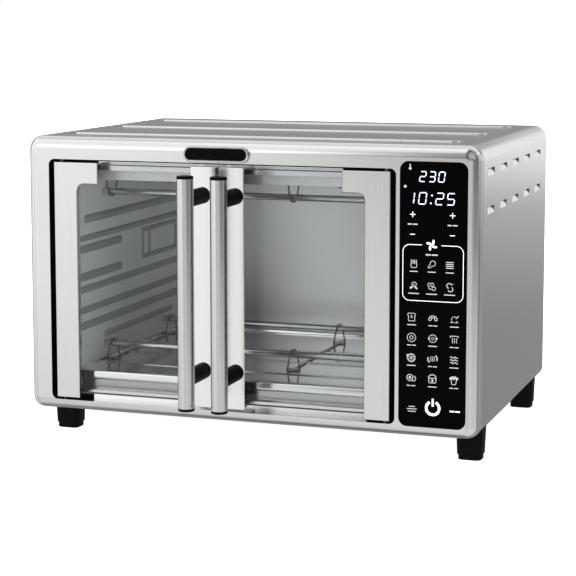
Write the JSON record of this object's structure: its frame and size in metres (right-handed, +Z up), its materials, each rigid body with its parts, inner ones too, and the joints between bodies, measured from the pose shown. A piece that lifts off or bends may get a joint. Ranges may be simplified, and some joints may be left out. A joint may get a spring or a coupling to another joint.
{
  "type": "toaster oven",
  "caption": "Counter-top convection toaster oven with linked French doors, bar handles, touch control column, ribbed steel housing and moulded feet.",
  "frame": {"origin": "on the counter, under the middle of the whole object's box", "axes": "+X to the right seen from the front, along the width; +Y to the back; +Z up; the doors face -Y"},
  "size_m": [0.46, 0.381, 0.3022],
  "materials": {
    "front_steel": "brushed horizontally, satin",
    "housing_steel": "fine satin sheet, lightly brushed",
    "zinc_steel": "plain zinc-coated sheet, dull",
    "black_plastic": "fine-grained black moulding",
    "foot_plastic": "black moulded foot, fine grain",
    "chrome_trim": "bright",
    "badge_black": "plain glossy black, no lettering",
    "panel_glass": "black glass-like touch panel, polished",
    "circuit_board": "green board",
    "liner_steel": "smooth cavity sheet, satin",
    "heater_sheath": "drawn metal sheath, satin",
    "wire_steel": "bright drawn wire and strip",
    "door_steel": "brushed vertically, satin",
    "door_glass": "clear tempered glass",
    "pin_steel": "turned steel pin",
    "handle_steel": "brushed tube, bright",
    "handle_plastic": "black moulding"
  },
  "bodies": {
    "oven": {"front_frame": "front_steel", "housing_wrap": "housing_steel", "bottom_pan": "zinc_steel", "back_panel": "zinc_steel", "cord_gland": "black_plastic", "foot_front_left": "foot_plastic", "foot_front_right": "foot_plastic", "foot_rear_left": "foot_plastic", "foot_rear_right": "foot_plastic", "badge_rim": "chrome_trim", "badge_plate": "badge_black", "control_glass": "panel_glass", "panel_carrier": "black_plastic", "control_board": "circuit_board", "display_module": "black_plastic", "power_board": "circuit_board", "cavity_ring": "liner_steel", "cavity_left_wall": "liner_steel", "cavity_right_wall": "liner_steel", "cavity_back_wall": "liner_steel", "cavity_ceiling": "liner_steel", "cavity_floor": "liner_steel", "crumb_tray": "liner_steel", "upper_rod_front": "heater_sheath", "upper_rod_rear": "heater_sheath", "lower_rod_front": "heater_sheath", "lower_rod_rear": "heater_sheath", "upper_hanger_left": "wire_steel", "lower_stand_left": "wire_steel", "upper_hanger_right": "wire_steel", "lower_stand_right": "wire_steel", "temperature_sensor": "chrome_trim", "fan_cup": "liner_steel", "fan_motor": "zinc_steel", "door_cable": "zinc_steel", "door_catch": "black_plastic"},
    "left_door": {"left_outer_stile": "door_steel", "left_inner_stile": "door_steel", "left_door_glass": "door_glass", "left_top_pin": "pin_steel", "left_bottom_pin": "pin_steel", "left_handle_tube": "handle_steel", "left_handle_cap_top": "handle_plastic", "left_handle_cap_bottom": "handle_plastic", "left_standoff_upper": "handle_plastic", "left_standoff_lower": "handle_plastic"},
    "right_door": {"right_outer_stile": "door_steel", "right_inner_stile": "door_steel", "right_door_glass": "door_glass", "right_top_pin": "pin_steel", "right_bottom_pin": "pin_steel", "right_handle_tube": "handle_steel", "right_handle_cap_top": "handle_plastic", "right_handle_cap_bottom": "handle_plastic", "right_standoff_upper": "handle_plastic", "right_standoff_lower": "handle_plastic"},
    "fan": {"fan_shaft": "zinc_steel", "fan_blade": "liner_steel", "cooling_blade": "black_plastic"}
  },
  "joints": [
    {"name": "left_door_hinge", "type": "hinge", "parent": "oven", "child": "left_door", "pos_m": [-0.1939, -0.1295, 0.1565], "axis": [0, 0, -1], "range_deg": [0, 100]},
    {"name": "right_door_hinge", "type": "hinge", "parent": "oven", "child": "right_door", "pos_m": [0.1394, -0.1295, 0.1565], "axis": [0, 0, 1], "range_deg": [0, 100]},
    {"name": "fan_spin", "type": "hinge", "parent": "oven", "child": "fan", "pos_m": [0.16, 0.0275, 0.155], "axis": [1, 0, 0], "continuous": true}
  ],
  "couplings": [
    {"joint": "right_door_hinge", "follows": "left_door_hinge", "ratio": 1}
  ]
}
